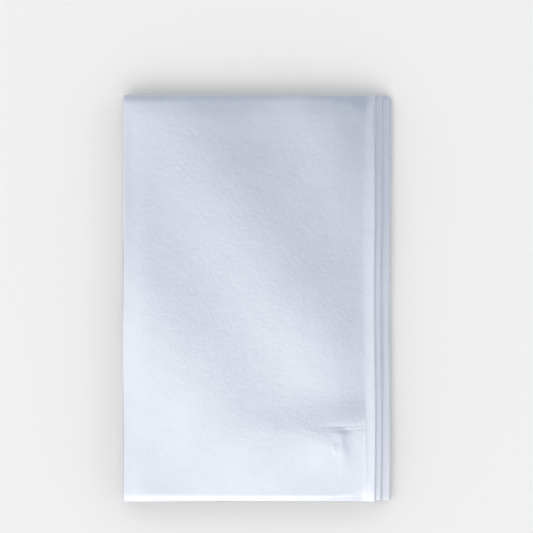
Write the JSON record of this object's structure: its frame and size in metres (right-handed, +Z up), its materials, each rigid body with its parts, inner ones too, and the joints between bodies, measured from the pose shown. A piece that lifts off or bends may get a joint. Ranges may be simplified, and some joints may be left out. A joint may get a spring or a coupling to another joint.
{
  "type": "folded emergency foil blanket",
  "caption": "Silver foil emergency blanket folded across and then back and forth into a flat rectangular packet, lying flat.",
  "frame": {"origin": "middle of the packet's footprint, on the surface that it lies on", "axes": "+Y along the packet's long side and its fold lines, +X towards the side on which the lower folds step out, +Z up"},
  "size_m": [0.1085, 0.1636, 0.0112],
  "materials": {
    "silver_film": "satin"
  },
  "bodies": {
    "root": {"foil_sheet": "silver_film"}
  },
  "joints": []
}
